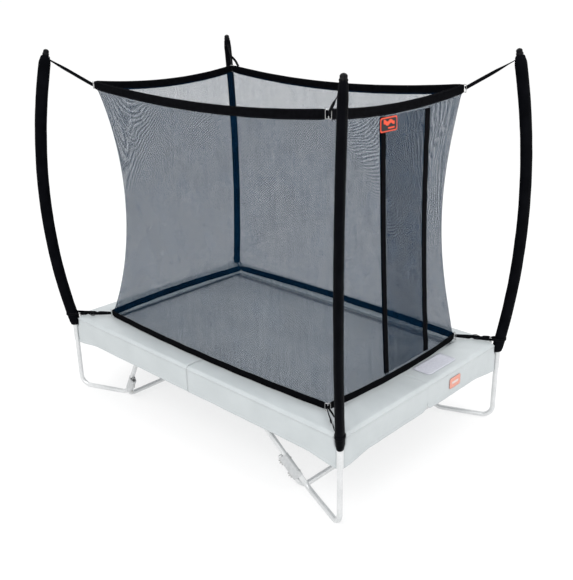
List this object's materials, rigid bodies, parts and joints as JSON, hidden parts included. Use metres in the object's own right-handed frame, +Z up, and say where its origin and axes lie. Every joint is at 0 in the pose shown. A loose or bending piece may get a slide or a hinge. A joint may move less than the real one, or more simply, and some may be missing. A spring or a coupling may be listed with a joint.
{
  "type": "trampoline",
  "caption": "Rectangular garden trampoline with a sprung bed, edge pads, bent-tube legs and a four-pole safety net with an overlapping entrance.",
  "frame": {"origin": "middle of the footprint, on the ground", "axes": "+Z up, +X along the long side towards the entrance end, -Y the front long side"},
  "size_m": [3.1964, 2.2122, 2.8908],
  "materials": {
    "galvanised_tube": "satin galvanised",
    "clamp_steel": "satin galvanised pressing",
    "zinc_fasteners": "zinc plated",
    "spring_steel": "zinc plated",
    "ring_steel": "polished",
    "cap_plastic": "moulded",
    "sleeve_cover": "coated woven cover over foam",
    "bed_mesh": "woven polypropylene",
    "bed_webbing": "webbing",
    "pad_vinyl": "satin coated fabric over foam",
    "net_mesh": "fine knitted mesh",
    "black_webbing": "woven webbing"
  },
  "bodies": {
    "frame": {"bottom_band_back": "black_webbing", "bottom_band_front": "black_webbing", "bottom_band_left": "black_webbing", "bottom_band_right": "black_webbing", "bottom_rings": "ring_steel", "bottom_straps": "black_webbing", "clamp_bolts": "zinc_fasteners", "corner_leg_back_left": "galvanised_tube", "corner_leg_back_right": "galvanised_tube", "corner_leg_front_left": "galvanised_tube", "corner_leg_front_right": "galvanised_tube", "end_leg_left": "galvanised_tube", "end_leg_right": "galvanised_tube", "entrance_hinge_tape": "black_webbing", "entrance_inner_tape": "black_webbing", "frame_corner_back_left": "galvanised_tube", "frame_corner_back_right": "galvanised_tube", "frame_corner_front_left": "galvanised_tube", "frame_corner_front_right": "galvanised_tube", "frame_screws": "zinc_fasteners", "leg_clamps": "clamp_steel", "net_back": "net_mesh", "net_entrance_inner": "net_mesh", "net_entrance_outer": "net_mesh", "net_front": "net_mesh", "net_left": "net_mesh", "pad_back_left": "pad_vinyl", "pad_back_right": "pad_vinyl", "pad_front_left": "pad_vinyl", "pad_front_right": "pad_vinyl", "pole_back_left": "galvanised_tube", "pole_back_right": "galvanised_tube", "pole_caps": "cap_plastic", "pole_front_left": "galvanised_tube", "pole_front_right": "galvanised_tube", "pole_sleeve_back_left": "sleeve_cover", "pole_sleeve_back_right": "sleeve_cover", "pole_sleeve_front_left": "sleeve_cover", "pole_sleeve_front_right": "sleeve_cover", "rail_back": "galvanised_tube", "rail_front": "galvanised_tube", "rail_left": "galvanised_tube", "rail_right": "galvanised_tube", "springs": "spring_steel", "top_band_back": "black_webbing", "top_band_front": "black_webbing", "top_band_left": "black_webbing", "top_band_right": "black_webbing", "top_rings": "ring_steel", "top_straps": "black_webbing", "wing_nuts": "zinc_fasteners"},
    "mat": {"jumping_mat": "bed_mesh", "mat_hem": "bed_webbing", "mat_v_rings": "spring_steel"},
    "flap": {"entrance_flap": "net_mesh", "entrance_flap_tape": "black_webbing"}
  },
  "joints": [
    {"name": "bed_bounce", "type": "slide", "parent": "frame", "child": "mat", "axis": [0, 0, 1], "range_m": [-0.28, 0], "stiffness_N_per_m": 8000, "deforming": ["springs"]},
    {"name": "entrance_flap_swing", "type": "hinge", "parent": "frame", "child": "flap", "pos_m": [1.275, -0.135, 1.64], "axis": [0, 0, -1], "range_deg": [0, 80]}
  ]
}
